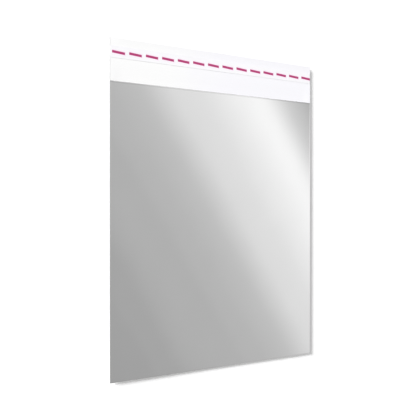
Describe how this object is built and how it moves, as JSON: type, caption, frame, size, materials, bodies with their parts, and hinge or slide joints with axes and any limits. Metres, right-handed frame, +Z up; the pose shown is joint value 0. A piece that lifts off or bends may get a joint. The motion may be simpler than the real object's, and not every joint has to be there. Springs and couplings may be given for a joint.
{
  "type": "self-seal metallized bag",
  "caption": "Flat mailing bag of silver metallised film, side-welded, with a slit mouth and a white sealing lip that carries an adhesive band under a peel-off liner.",
  "frame": {"origin": "on the table, under the middle of the bag's outline", "axes": "+X across the bag, +Y along it towards the sealing lip, +Z up from the back panel to the front panel"},
  "size_m": [0.23, 0.32, 0.0021],
  "materials": {
    "metallised_film": "gloss",
    "adhesive": "satin",
    "liner_film": "satin"
  },
  "bodies": {
    "root": {"bag_film": "metallised_film", "adhesive_strip": "adhesive", "release_liner": "liner_film"}
  },
  "joints": []
}
